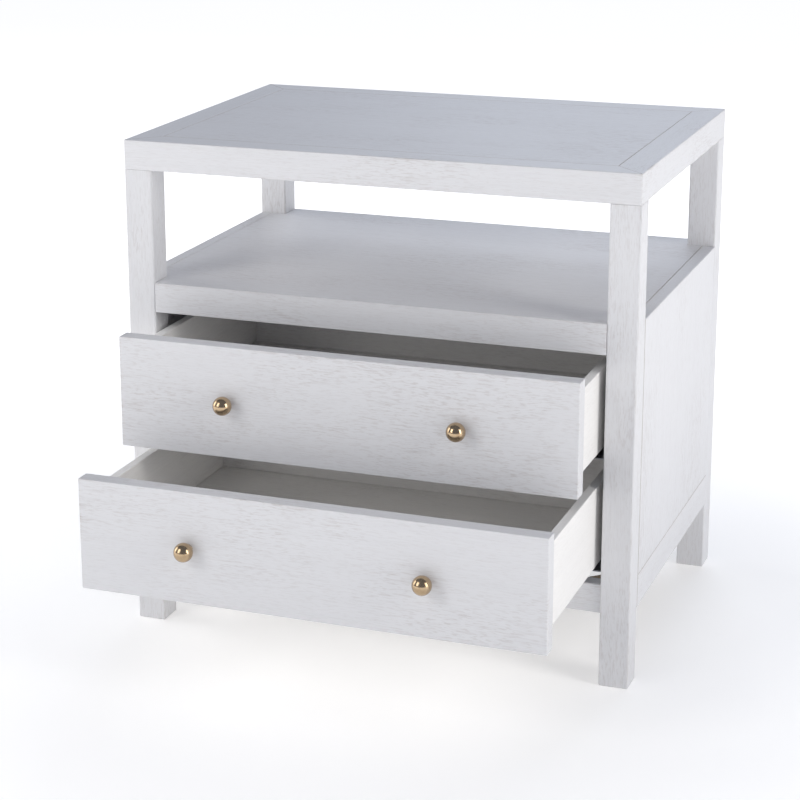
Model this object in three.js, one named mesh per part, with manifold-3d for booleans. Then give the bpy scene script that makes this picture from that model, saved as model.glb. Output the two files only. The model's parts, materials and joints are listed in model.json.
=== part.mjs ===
// A two-drawer nightstand with an open shelf, as separate boards, drawer boxes, knobs and slides.
// Millimetres, +Z up, the front faces -Y. The origin is on the floor, centred from left to right and
// midway between the open lower drawer's knobs and the back of the case.
import * as THREE from 'three';
import { mergeVertices } from 'three/addons/utils/BufferGeometryUtils.js';
import Module from 'manifold-3d';

const wasm = await Module();
wasm.setup();

// The case
const CASE_WIDTH = 708;
const CASE_DEPTH = 500;
const CASE_HEIGHT = 686;
const LEG = 40;
const APRON_HEIGHT = 40;
const TOP_PANEL_THICKNESS = 18;
const SHELF_TOP = 492;
const SHELF_THICKNESS = 18;
const SHELF_EDGE_HEIGHT = 41;
const SIDE_THICKNESS = 18;
const BACK_THICKNESS = 9;
const BACK_RECESS = 4;
const FLOOR_CLEARANCE = 100;
const SIDE_RAIL_HEIGHT = 46;
const FRONT_RAIL_HEIGHT = 40;
const FRONT_RAIL_THICKNESS = 22;
const FRONT_RAIL_SETBACK = 5;
const BACK_RAIL_THICKNESS = 18;
const GLUE_BLOCK = 22;
const GLUE_BLOCK_HEIGHT = 30;
const GLUE_LINE = 0.2;
const EASE = 1.5;
const PANEL_EASE = 0.8;
const OVERRUN = 1;

// The drawers
const UPPER_OPEN = 115;
const LOWER_OPEN = 242;
const FRONT_THICKNESS = 23;
const REVEAL_SIDE = 2;
const REVEAL_TOP = 4;
const REVEAL_MIDDLE = 5;
const REVEAL_BOTTOM = 2;
const BOX_SIDE_THICKNESS = 12;
const BOX_BACK_THICKNESS = 12;
const BOX_LENGTH = 394;
const BOX_DROP = 20;
const BOX_RISE = 20;
const BOX_SIDE_ROOM = 9;
const BOTTOM_THICKNESS = 6;
const BOTTOM_RECESS = 11;
const GROOVE_DEPTH = 5;
const GROOVE_ROOM = 0.3;

// The knobs and their screws
const KNOB_DIAMETER = 25;
const KNOB_NECK_DIAMETER = 11;
const KNOB_NECK_LENGTH = 2.5;
const KNOB_SPACING = 317;
const KNOB_BORE_DEPTH = 9;
const SCREW_DIAMETER = 4;
const SCREW_HEAD_DIAMETER = 9;
const SCREW_HEAD_HEIGHT = 2.4;
const SCREW_GRIP = 8;
const SCREW_ROOM = 0.3;
const SCREW_CROWN = 0.7;
const ROUND_SIDES = 24;
const SCREW_SIDES = 16;
const BALL_STEPS = 12;

// The concealed slides, measured inwards from the leg's inner face and up from the box side's lower edge
const STEEL = 1.5;
const SLIDE_LENGTH = 381;
const SLIDE_SETBACK = 4;
const SLIDE_END_ROOM = 1;
const CASE_RAIL_DROP = 14;
const CASE_RAIL_FLANGE = 12;
const CASE_RAIL_LIP = 10;
const TRACK_WIDTH = 32;
const TRACK_ROOM = 1.5;
const DRAWER_RAIL_ROOM = 2;
const MIDDLE_RAIL_LENGTH = 350;
const MIDDLE_RAIL_HEIGHT = 10;
const MIDDLE_RAIL_LIFT = 1;
const DRAWER_RAIL_LENGTH = 366;
const DRAWER_RAIL_SKIRT = 18;
const DRAWER_RAIL_RIB = 4;
const DRAWER_RAIL_RIB_HEIGHT = 16;
const CLEAT_HEIGHT = 26;
const CLEAT_BELOW = 20;

// Places that several pieces share
const KNOB_RADIUS = KNOB_DIAMETER / 2;
const KNOB_PROJECTION = KNOB_NECK_LENGTH + KNOB_DIAMETER;
const CASE_FRONT = (LOWER_OPEN + KNOB_PROJECTION - CASE_DEPTH) / 2;
const APRON_BOTTOM = CASE_HEIGHT - APRON_HEIGHT;
const SHELF_EDGE_BOTTOM = SHELF_TOP - SHELF_EDGE_HEIGHT;
const SHELF_UNDERSIDE = SHELF_TOP - SHELF_THICKNESS;
const SIDE_RAIL_TOP = FLOOR_CLEARANCE + SIDE_RAIL_HEIGHT;
const FRONT_RAIL_TOP = FLOOR_CLEARANCE + FRONT_RAIL_HEIGHT;
const LEG_BACK_Y = CASE_DEPTH - LEG;
const OPENING_WIDTH = CASE_WIDTH - 2 * LEG;
const OPENING_HEIGHT = SHELF_EDGE_BOTTOM - FRONT_RAIL_TOP;
const FRONT_WIDTH = OPENING_WIDTH - 2 * REVEAL_SIDE;
const FRONT_HEIGHT = (OPENING_HEIGHT - REVEAL_TOP - REVEAL_MIDDLE - REVEAL_BOTTOM) / 2;
const LOWER_FRONT_Z = FRONT_RAIL_TOP + REVEAL_BOTTOM;
const UPPER_FRONT_Z = LOWER_FRONT_Z + FRONT_HEIGHT + REVEAL_MIDDLE;
const BOX_WIDTH = OPENING_WIDTH - 2 * BOX_SIDE_ROOM;
const BOX_HEIGHT = FRONT_HEIGHT - BOX_DROP - BOX_RISE;
const BOX_BACK_FACE = FRONT_THICKNESS + BOX_LENGTH;
const BOTTOM_TOP = BOTTOM_RECESS + BOTTOM_THICKNESS;
const SLIDE_FRONT = FRONT_THICKNESS + SLIDE_SETBACK;

const SIDES = { left: -1, right: 1 };

// Finishes
function finish(color, roughness, metalness) {
  return () => new THREE.MeshStandardMaterial({ color, roughness, metalness });
}
const washedWood = finish(0xd5d6da, 0.6, 0);
const drawerWood = finish(0xc6c7c9, 0.65, 0);
const hiddenWood = finish(0xa99c88, 0.75, 0);
const polishedBrass = finish(0xb5904f, 0.22, 1);
const screwSteel = finish(0x9b9da1, 0.35, 1);
const zincSteel = finish(0xc2c5cb, 0.4, 1);

// Outlines are drawn across a piece and pushed along one axis: X, Y or Z.
const ALONG = {
  X: new THREE.Matrix4().set(0, 0, 1, 0, 1, 0, 0, 0, 0, 1, 0, 0, 0, 0, 0, 1),
  Y: new THREE.Matrix4().set(0, 1, 0, 0, 0, 0, 1, 0, 1, 0, 0, 0, 0, 0, 0, 1),
  Z: new THREE.Matrix4(),
};

function mesh(name, geometry, material) {
  const piece = new THREE.Mesh(geometry, material());
  piece.name = name;
  return piece;
}

function place(piece, x, y, z) {
  piece.position.set(x, y, z);
  return piece;
}

// Pushes a closed outline of [u, v] points from start to end along an axis. An eased push has its
// end arrises taken off, and stays inside the given outline and length.
function push(axis, outline, start, end, ease = 0) {
  const shape = new THREE.Shape(outline.map(([u, v]) => new THREE.Vector2(u, v)));
  const geometry = new THREE.ExtrudeGeometry(shape, {
    depth: end - start - 2 * ease,
    bevelEnabled: ease > 0,
    bevelThickness: ease,
    bevelSize: ease,
    bevelOffset: -ease,
    bevelSegments: 1,
  });
  geometry.translate(0, 0, start + ease);
  return geometry.applyMatrix4(ALONG[axis]);
}

function rectangle(u0, v0, u1, v1) {
  return [[u0, v0], [u1, v0], [u1, v1], [u0, v1]];
}

// A rectangle with its four corners taken off by the ease.
function easedRectangle(u0, v0, u1, v1, ease) {
  return [
    [u0 + ease, v0], [u1 - ease, v0], [u1, v0 + ease], [u1, v1 - ease],
    [u1 - ease, v1], [u0 + ease, v1], [u0, v1 - ease], [u0, v0 + ease],
  ];
}

// A board between two corners, its grain along one axis, with every arris eased.
function board(axis, low, high, ease = EASE) {
  const order = { X: [1, 2, 0], Y: [2, 0, 1], Z: [0, 1, 2] }[axis];
  const [u, v, w] = order;
  const outline = easedRectangle(low[u], low[v], high[u], high[v], ease);
  return push(axis, outline, low[w], high[w], ease);
}

// The same outline on the other side of the middle.
function mirrored(outline) {
  return outline.map(([u, v]) => [-u, v]);
}

function solid(geometry) {
  const bare = geometry.clone();
  bare.deleteAttribute('normal');
  bare.deleteAttribute('uv');
  const closed = mergeVertices(bare, 1e-4);
  return new wasm.Manifold(new wasm.Mesh({
    numProp: 3,
    vertProperties: closed.attributes.position.array,
    triVerts: Uint32Array.from(closed.index.array),
  }));
}

// Takes each cutter out of a blank.
function cut(blank, cutters) {
  let whole = solid(blank);
  for (const cutter of cutters) whole = whole.subtract(solid(cutter));
  const result = whole.getMesh();
  const geometry = new THREE.BufferGeometry();
  geometry.setAttribute('position', new THREE.BufferAttribute(result.vertProperties, 3));
  geometry.setIndex(new THREE.BufferAttribute(result.triVerts, 1));
  geometry.computeVertexNormals();
  return geometry;
}

// A solid of revolution whose axis lies along Y, from [radius, distance] points that start and end
// on the axis. The distance runs towards the front.
function turned(profile, sides) {
  const points = profile.map(([radius, distance]) => new THREE.Vector2(radius, distance));
  const geometry = new THREE.LatheGeometry(points, sides);
  return geometry.rotateX(Math.PI);
}

// ---- The case -------------------------------------------------------------------------------

const HALF = CASE_WIDTH / 2;
const LEG_INNER = HALF - LEG;
const BETWEEN_LEGS = LEG_INNER - GLUE_LINE;
const BETWEEN_LEGS_FRONT = LEG + GLUE_LINE;
const BETWEEN_LEGS_BACK = LEG_BACK_Y - GLUE_LINE;

function leg(name, side, y) {
  const inner = side * LEG_INNER;
  const outer = side * HALF;
  const low = [Math.min(inner, outer), y, 0];
  const high = [Math.max(inner, outer), y + LEG, APRON_BOTTOM - GLUE_LINE];
  return mesh(name, board('Z', low, high), washedWood);
}

function legs() {
  const made = [];
  for (const [word, side] of Object.entries(SIDES)) {
    made.push(leg(`leg_front_${word}`, side, 0));
    made.push(leg(`leg_back_${word}`, side, LEG_BACK_Y));
  }
  return made;
}

// The aprons: four bars mitred at the corners, as deep as the legs, round the top panel. Their
// ends are drawn back from the mitre line by a glue line.
function apron(name, outline) {
  return mesh(name, push('Z', outline, APRON_BOTTOM, CASE_HEIGHT, EASE), washedWood);
}

function aprons() {
  const long = [
    [-HALF + GLUE_LINE, 0], [HALF - GLUE_LINE, 0],
    [LEG_INNER - GLUE_LINE, LEG], [-LEG_INNER + GLUE_LINE, LEG],
  ];
  const short = [
    [-HALF, GLUE_LINE], [-LEG_INNER, LEG + GLUE_LINE],
    [-LEG_INNER, LEG_BACK_Y - GLUE_LINE], [-HALF, CASE_DEPTH - GLUE_LINE],
  ];
  const flipped = long.map(([x, y]) => [x, CASE_DEPTH - y]);
  return [
    apron('apron_front', long),
    apron('apron_back', flipped),
    apron('apron_left', short),
    apron('apron_right', mirrored(short)),
  ];
}

function topPanel() {
  const low = [-BETWEEN_LEGS, BETWEEN_LEGS_FRONT, CASE_HEIGHT - TOP_PANEL_THICKNESS];
  const high = [BETWEEN_LEGS, BETWEEN_LEGS_BACK, CASE_HEIGHT];
  return mesh('top_panel', board('X', low, high, PANEL_EASE), washedWood);
}

// The shelf runs between the side panels and is notched round the legs. Its front edge is mitred
// to the deep edge rail, so that no joint shows on the top or on the front.
function shelfPanel() {
  const side = HALF - SIDE_THICKNESS - GLUE_LINE;
  const notchFront = LEG + GLUE_LINE;
  const notchBack = LEG_BACK_Y - GLUE_LINE;
  const half = [
    [BETWEEN_LEGS, 0], [BETWEEN_LEGS, notchFront], [side, notchFront],
    [side, notchBack], [BETWEEN_LEGS, notchBack], [BETWEEN_LEGS, CASE_DEPTH],
  ];
  const other = half.map(([x, y]) => [-x, y]).reverse();
  const blank = push('Z', [...half, ...other], SHELF_UNDERSIDE, SHELF_TOP);
  const wedge = [
    [-OVERRUN, SHELF_UNDERSIDE - OVERRUN],
    [SHELF_THICKNESS + OVERRUN, SHELF_UNDERSIDE - OVERRUN],
    [-OVERRUN, SHELF_TOP + OVERRUN],
  ];
  return mesh('shelf_panel', cut(blank, [push('X', wedge, -HALF, HALF)]), washedWood);
}

function shelfFrontEdge() {
  const outline = [
    [0, SHELF_EDGE_BOTTOM], [SHELF_THICKNESS, SHELF_EDGE_BOTTOM],
    [SHELF_THICKNESS, SHELF_UNDERSIDE - 2 * GLUE_LINE], [0, SHELF_TOP - 2 * GLUE_LINE],
  ];
  return mesh('shelf_front_edge', push('X', outline, -BETWEEN_LEGS, BETWEEN_LEGS), washedWood);
}

function shelfBackRail() {
  const low = [-BETWEEN_LEGS, CASE_DEPTH - BACK_RAIL_THICKNESS, SHELF_EDGE_BOTTOM];
  const high = [BETWEEN_LEGS, CASE_DEPTH, SHELF_UNDERSIDE - GLUE_LINE];
  return mesh('shelf_back_rail', board('X', low, high), washedWood);
}

function sidePieces(word, side) {
  const outer = side * HALF;
  const inner = side * (HALF - SIDE_THICKNESS);
  const x = [Math.min(outer, inner), Math.max(outer, inner)];
  const panel = board(
    'Z',
    [x[0], BETWEEN_LEGS_FRONT, SIDE_RAIL_TOP + GLUE_LINE],
    [x[1], BETWEEN_LEGS_BACK, SHELF_TOP],
  );
  const rail = board(
    'Y',
    [x[0], BETWEEN_LEGS_FRONT, FLOOR_CLEARANCE],
    [x[1], BETWEEN_LEGS_BACK, SIDE_RAIL_TOP],
  );
  return [
    mesh(`side_panel_${word}`, panel, washedWood),
    mesh(`side_rail_${word}`, rail, washedWood),
  ];
}

function frontRail() {
  const low = [-BETWEEN_LEGS, FRONT_RAIL_SETBACK, FLOOR_CLEARANCE];
  const high = [BETWEEN_LEGS, FRONT_RAIL_SETBACK + FRONT_RAIL_THICKNESS, FRONT_RAIL_TOP];
  return mesh('front_rail', board('X', low, high), washedWood);
}

function backRail() {
  const low = [-BETWEEN_LEGS, CASE_DEPTH - BACK_RAIL_THICKNESS, FLOOR_CLEARANCE];
  const high = [BETWEEN_LEGS, CASE_DEPTH, SIDE_RAIL_TOP];
  return mesh('back_rail', board('X', low, high), washedWood);
}

function backPanel() {
  const back = CASE_DEPTH - BACK_RECESS;
  const low = [-BETWEEN_LEGS, back - BACK_THICKNESS, SIDE_RAIL_TOP + GLUE_LINE];
  const high = [BETWEEN_LEGS, back, SHELF_EDGE_BOTTOM - GLUE_LINE];
  return mesh('back_panel', board('X', low, high, PANEL_EASE), washedWood);
}

// Three-cornered blocks behind the bottom rails, against the legs.
function glueBlocks() {
  const front = FRONT_RAIL_SETBACK + FRONT_RAIL_THICKNESS + GLUE_LINE;
  const back = CASE_DEPTH - BACK_RAIL_THICKNESS - GLUE_LINE;
  const made = [];
  for (const [end, y, way] of [['front', front, 1], ['back', back, -1]]) {
    for (const [word, side] of Object.entries(SIDES)) {
      const x = side * BETWEEN_LEGS;
      const outline = [[x, y], [x - side * GLUE_BLOCK, y], [x, y + way * GLUE_BLOCK]];
      const top = FRONT_RAIL_TOP;
      const geometry = push('Z', outline, top - GLUE_BLOCK_HEIGHT, top);
      made.push(mesh(`glue_block_${end}_${word}`, geometry, hiddenWood));
    }
  }
  return made;
}

// ---- The slides -----------------------------------------------------------------------------

const DRAWER_RAIL_START = BOX_SIDE_ROOM + BOX_SIDE_THICKNESS + DRAWER_RAIL_ROOM;
const TRACK_START = DRAWER_RAIL_START + STEEL + TRACK_ROOM;
const CASE_RAIL_WIDTH = TRACK_START + TRACK_WIDTH;
const TRACK_FLOOR = -CASE_RAIL_DROP + STEEL;

// Turns a slide outline, drawn inwards from the left leg, into the case's X and Z.
function slideOutline(outline, side, sideBottom) {
  return outline.map(([u, v]) => [sideBottom + v, side * (LEG_INNER - u)]);
}

// The member screwed to the case: a flange against the leg, a foot under the box side and two lips.
function caseRail(side, sideBottom) {
  const low = -CASE_RAIL_DROP;
  const lip = low + CASE_RAIL_LIP;
  const wall = GLUE_LINE;
  const outline = [
    [wall, low], [CASE_RAIL_WIDTH, low], [CASE_RAIL_WIDTH, lip], [CASE_RAIL_WIDTH - STEEL, lip],
    [CASE_RAIL_WIDTH - STEEL, TRACK_FLOOR], [TRACK_START + STEEL, TRACK_FLOOR],
    [TRACK_START + STEEL, lip], [TRACK_START, lip], [TRACK_START, TRACK_FLOOR],
    [wall + STEEL, TRACK_FLOOR], [wall + STEEL, low + CASE_RAIL_FLANGE],
    [wall, low + CASE_RAIL_FLANGE],
  ];
  const start = SLIDE_FRONT;
  return push('Y', slideOutline(outline, side, sideBottom), start, start + SLIDE_LENGTH);
}

// The member between: a channel that runs inside the case rail's lips.
function middleRail(side, sideBottom) {
  const u0 = TRACK_START + STEEL + TRACK_ROOM;
  const u1 = CASE_RAIL_WIDTH - STEEL - TRACK_ROOM;
  const v0 = TRACK_FLOOR + MIDDLE_RAIL_LIFT;
  const v1 = v0 + MIDDLE_RAIL_HEIGHT;
  const outline = [
    [u0, v0], [u1, v0], [u1, v1], [u1 - STEEL, v1], [u1 - STEEL, v0 + STEEL],
    [u0 + STEEL, v0 + STEEL], [u0 + STEEL, v1], [u0, v1],
  ];
  const start = SLIDE_FRONT + SLIDE_END_ROOM;
  return push('Y', slideOutline(outline, side, sideBottom), start, start + MIDDLE_RAIL_LENGTH);
}

// The member under the drawer bottom: a cap with a skirt each side and a rib that runs in the channel.
function drawerRail(side, sideBottom) {
  const v1 = BOTTOM_RECESS - GLUE_LINE;
  const v0 = v1 - STEEL;
  const skirt = v1 - DRAWER_RAIL_SKIRT;
  const u0 = DRAWER_RAIL_START;
  const u1 = CASE_RAIL_WIDTH + TRACK_ROOM + STEEL;
  const rib = (TRACK_START + CASE_RAIL_WIDTH - DRAWER_RAIL_RIB) / 2;
  const ribFoot = v0 - DRAWER_RAIL_RIB_HEIGHT;
  const outline = [
    [u0, skirt], [u0 + STEEL, skirt], [u0 + STEEL, v0], [rib, v0], [rib, ribFoot],
    [rib + DRAWER_RAIL_RIB, ribFoot], [rib + DRAWER_RAIL_RIB, v0], [u1 - STEEL, v0],
    [u1 - STEEL, skirt], [u1, skirt], [u1, v1], [u0, v1],
  ];
  const start = FRONT_THICKNESS + SLIDE_END_ROOM;
  return push('Y', slideOutline(outline, side, sideBottom), start, start + DRAWER_RAIL_LENGTH);
}

// A board from the side panel to the legs' inner faces, for the case rail to be screwed to.
function cleat(side, sideBottom) {
  const inner = side * LEG_INNER;
  const outer = side * (HALF - SIDE_THICKNESS - GLUE_LINE);
  const low = [Math.min(inner, outer), BETWEEN_LEGS_FRONT, sideBottom - CLEAT_BELOW];
  const high = [Math.max(inner, outer), BETWEEN_LEGS_BACK, low[2] + CLEAT_HEIGHT];
  return board('Y', low, high);
}

function slideFixings(level, sideBottom) {
  const made = [];
  for (const [word, side] of Object.entries(SIDES)) {
    made.push(mesh(`${level}_cleat_${word}`, cleat(side, sideBottom), hiddenWood));
    made.push(mesh(`${level}_slide_case_rail_${word}`, caseRail(side, sideBottom), zincSteel));
  }
  return made;
}

function middleRails(level, sideBottom) {
  return Object.entries(SIDES).map(([word, side]) => {
    const name = `${level}_slide_middle_rail_${word}`;
    return mesh(name, middleRail(side, sideBottom), zincSteel);
  });
}

// ---- The drawers ----------------------------------------------------------------------------

const BOX_HALF = BOX_WIDTH / 2;
const BOX_INNER_HALF = BOX_HALF - BOX_SIDE_THICKNESS;
const BOTTOM_HALF = BOX_INNER_HALF + GROOVE_DEPTH - GROOVE_ROOM;
const BEHIND_FRONT = FRONT_THICKNESS + GLUE_LINE;
const GROOVE_LOW = BOTTOM_RECESS - GROOVE_ROOM;
const GROOVE_HIGH = BOTTOM_TOP + GROOVE_ROOM;

function drawerFront() {
  const blank = board('X', [-FRONT_WIDTH / 2, 0, 0], [FRONT_WIDTH / 2, FRONT_THICKNESS, FRONT_HEIGHT]);
  const groove = push(
    'X',
    rectangle(
      FRONT_THICKNESS - GROOVE_DEPTH, BOX_RISE + GROOVE_LOW,
      FRONT_THICKNESS + OVERRUN, BOX_RISE + GROOVE_HIGH,
    ),
    -BOTTOM_HALF - GROOVE_ROOM,
    BOTTOM_HALF + GROOVE_ROOM,
  );
  const radius = SCREW_DIAMETER / 2 + SCREW_ROOM;
  const behind = -FRONT_THICKNESS - OVERRUN;
  const hole = [[0, behind], [radius, behind], [radius, OVERRUN], [0, OVERRUN]];
  const holes = Object.values(SIDES).map((side) => turned(hole, SCREW_SIDES)
    .translate(side * KNOB_SPACING / 2, 0, FRONT_HEIGHT / 2));
  return cut(blank, [groove, ...holes]);
}

function boxSide(side) {
  const outer = side * BOX_HALF;
  const inner = side * BOX_INNER_HALF;
  const groove = side * (BOX_INNER_HALF + GROOVE_DEPTH);
  const outline = [
    [0, outer], [BOX_HEIGHT, outer], [BOX_HEIGHT, inner], [GROOVE_HIGH, inner],
    [GROOVE_HIGH, groove], [GROOVE_LOW, groove], [GROOVE_LOW, inner], [0, inner],
  ];
  return push('Y', outline, BEHIND_FRONT, BOX_BACK_FACE);
}

function boxBack() {
  const half = BOX_INNER_HALF - GLUE_LINE;
  const low = [-half, BOX_BACK_FACE - BOX_BACK_THICKNESS, BOTTOM_TOP + GLUE_LINE];
  return board('X', low, [half, BOX_BACK_FACE, BOX_HEIGHT], PANEL_EASE);
}

function boxBottom() {
  const low = [-BOTTOM_HALF, FRONT_THICKNESS - GROOVE_DEPTH + GROOVE_ROOM, BOTTOM_RECESS];
  const high = [BOTTOM_HALF, BOX_BACK_FACE, BOTTOM_TOP];
  return board('X', low, high, PANEL_EASE);
}

// A ball on a short neck, bored for its screw. Distances run forwards from the drawer front.
function knob() {
  const bore = SCREW_DIAMETER / 2 + SCREW_ROOM;
  const neck = KNOB_NECK_DIAMETER / 2;
  const centre = KNOB_NECK_LENGTH + KNOB_RADIUS;
  const start = Math.asin(neck / KNOB_RADIUS);
  const profile = [[0, KNOB_BORE_DEPTH], [bore, KNOB_BORE_DEPTH], [bore, GLUE_LINE], [neck, GLUE_LINE]];
  for (let step = 0; step <= BALL_STEPS; step += 1) {
    const angle = start + (Math.PI - start) * step / BALL_STEPS;
    const radius = step === BALL_STEPS ? 0 : KNOB_RADIUS * Math.sin(angle);
    profile.push([radius, centre - KNOB_RADIUS * Math.cos(angle)]);
  }
  return turned(profile, ROUND_SIDES);
}

// A pan-headed machine screw: its head bears on the back of the drawer front.
function knobScrew() {
  const head = SCREW_HEAD_DIAMETER / 2;
  const shank = SCREW_DIAMETER / 2;
  const seat = -FRONT_THICKNESS - GLUE_LINE;
  return turned([
    [0, seat - SCREW_HEAD_HEIGHT], [head * SCREW_CROWN, seat - SCREW_HEAD_HEIGHT],
    [head, seat - SCREW_HEAD_HEIGHT / 2], [head, seat], [shank, seat],
    [shank, SCREW_GRIP], [0, SCREW_GRIP],
  ], SCREW_SIDES);
}

// One drawer: its box is lifted clear of the slides by the box rise. The group's own origin is at
// the foot of the front's face, and it stands open by the given distance.
function drawer(level, frontZ, open) {
  const group = new THREE.Group();
  place(group, 0, CASE_FRONT - open, frontZ);
  group.add(mesh(`${level}_drawer_front`, drawerFront(), washedWood));
  const box = new THREE.Group();
  place(box, 0, 0, BOX_RISE);
  group.add(box);
  for (const [word, side] of Object.entries(SIDES)) {
    box.add(mesh(`${level}_drawer_side_${word}`, boxSide(side), drawerWood));
    box.add(mesh(`${level}_slide_drawer_rail_${word}`, drawerRail(side, 0), zincSteel));
    const x = side * KNOB_SPACING / 2;
    const z = FRONT_HEIGHT / 2;
    group.add(place(mesh(`${level}_knob_${word}`, knob(), polishedBrass), x, 0, z));
    group.add(place(mesh(`${level}_knob_screw_${word}`, knobScrew(), screwSteel), x, 0, z));
  }
  box.add(mesh(`${level}_drawer_back`, boxBack(), drawerWood));
  box.add(mesh(`${level}_drawer_bottom`, boxBottom(), drawerWood));
  return group;
}

// ---- The whole nightstand -------------------------------------------------------------------

const nightstand = new THREE.Group();
const casework = place(new THREE.Group(), 0, CASE_FRONT, 0);
casework.add(...legs(), ...aprons(), topPanel(), shelfPanel(), shelfFrontEdge(), shelfBackRail());
for (const [word, side] of Object.entries(SIDES)) casework.add(...sidePieces(word, side));
casework.add(frontRail(), backRail(), backPanel(), ...glueBlocks());
nightstand.add(casework);

const DRAWERS = [
  { level: 'upper', frontZ: UPPER_FRONT_Z, open: UPPER_OPEN },
  { level: 'lower', frontZ: LOWER_FRONT_Z, open: LOWER_OPEN },
];
for (const { level, frontZ, open } of DRAWERS) {
  const sideBottom = frontZ + BOX_RISE;
  casework.add(...slideFixings(level, sideBottom));
  nightstand.add(drawer(level, frontZ, open));
  const middle = place(new THREE.Group(), 0, CASE_FRONT - open / 2, 0);
  middle.add(...middleRails(level, sideBottom));
  nightstand.add(middle);
}

export default nightstand;
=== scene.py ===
"""The nightstand's finish: boards, drawer boxes, turned knobs, screws, slides and a small studio.

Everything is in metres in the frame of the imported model. Each piece stands on the place of its own
node, keeps inside that node's box, and rides on that node's body.
"""

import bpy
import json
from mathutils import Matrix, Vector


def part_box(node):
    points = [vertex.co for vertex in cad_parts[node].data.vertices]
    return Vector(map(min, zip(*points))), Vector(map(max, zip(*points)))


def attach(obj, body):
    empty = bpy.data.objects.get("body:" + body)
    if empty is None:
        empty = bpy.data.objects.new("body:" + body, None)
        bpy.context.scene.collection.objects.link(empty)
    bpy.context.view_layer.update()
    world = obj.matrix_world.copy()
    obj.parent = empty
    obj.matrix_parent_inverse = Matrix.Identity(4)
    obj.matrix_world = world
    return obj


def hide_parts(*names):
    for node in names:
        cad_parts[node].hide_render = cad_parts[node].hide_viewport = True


bl_info = {
    "name": "Nightstand finish",
    "version": (1, 0, 0),
    "blender": (4, 5, 0),
    "location": "3D View > Sidebar > Nightstand",
    "description": "Builds the boards, drawers, knobs and slides of a nightstand round its frame",
    "category": "Object",
}

import json
import math
import random

import bmesh
import bpy
from bpy.props import FloatProperty, FloatVectorProperty, IntProperty, PointerProperty
from mathutils import Matrix, Quaternion, Vector

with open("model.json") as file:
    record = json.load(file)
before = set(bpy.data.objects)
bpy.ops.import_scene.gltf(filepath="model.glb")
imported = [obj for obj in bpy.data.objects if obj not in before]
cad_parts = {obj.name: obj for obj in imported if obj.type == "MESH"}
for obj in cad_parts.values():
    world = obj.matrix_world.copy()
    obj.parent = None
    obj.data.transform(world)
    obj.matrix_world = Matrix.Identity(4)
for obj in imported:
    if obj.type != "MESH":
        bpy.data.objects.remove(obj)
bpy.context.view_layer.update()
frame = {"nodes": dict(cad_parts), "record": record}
NODES = sorted(frame["nodes"])
BODY_OF = {
    node: body
    for body, members in frame["record"]["behaviour"]["bodies"].items()
    for node in members
}
SLOT_OF = {row["node"]: row["material_slot"] for row in frame["record"]["subparts"]}
LEVELS = ("upper", "lower")
SIDES = ("left", "right")
ENDS = ("front", "back")
MM = 0.001
# Corners within WELD of each other are one corner, and a corner within TOUCH of a plane is on it.
WELD = 0.01 * MM
TOUCH = 0.001 * MM


# ---- Settings -------------------------------------------------------------------------------


class NightstandBoardSettings(bpy.types.PropertyGroup):
    arris: FloatProperty(
        name="Arris", description="Radius of the rounded edges of the boards",
        default=1.6 * MM, min=0.0, unit="LENGTH",
    )
    joint: FloatProperty(
        name="Joint arris", description="Radius of the edges where two boards meet",
        default=0.4 * MM, min=0.0, unit="LENGTH",
    )
    mitre: FloatProperty(
        name="Mitre line", description="Width of the line on each side of a mitre",
        default=0.5 * MM, min=0.0, unit="LENGTH",
    )
    leg: FloatProperty(
        name="Leg arris", description="Radius of the rounded edges and feet of the legs",
        default=2.2 * MM, min=0.0, unit="LENGTH",
    )
    front: FloatProperty(
        name="Front arris", description="Radius of the rounded edges of the drawer fronts",
        default=1.2 * MM, min=0.0, unit="LENGTH",
    )
    box: FloatProperty(
        name="Box arris", description="Radius of the edges of the drawer boxes",
        default=1.0 * MM, min=0.0, unit="LENGTH",
    )
    block: FloatProperty(
        name="Block arris", description="Radius of the edges of the bare blocks and cleats",
        default=0.6 * MM, min=0.0, unit="LENGTH",
    )
    slide: FloatProperty(
        name="Slide edge", description="Radius of the edges of the pressed steel slides",
        default=0.35 * MM, min=0.0, unit="LENGTH",
    )
    groove_room: FloatProperty(
        name="Groove room", description="Room round a drawer bottom in the front's groove",
        default=0.3 * MM, min=0.0, unit="LENGTH",
    )
    segments: IntProperty(
        name="Segments", description="Steps across a rounded edge", default=4, min=1, max=8,
    )


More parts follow.
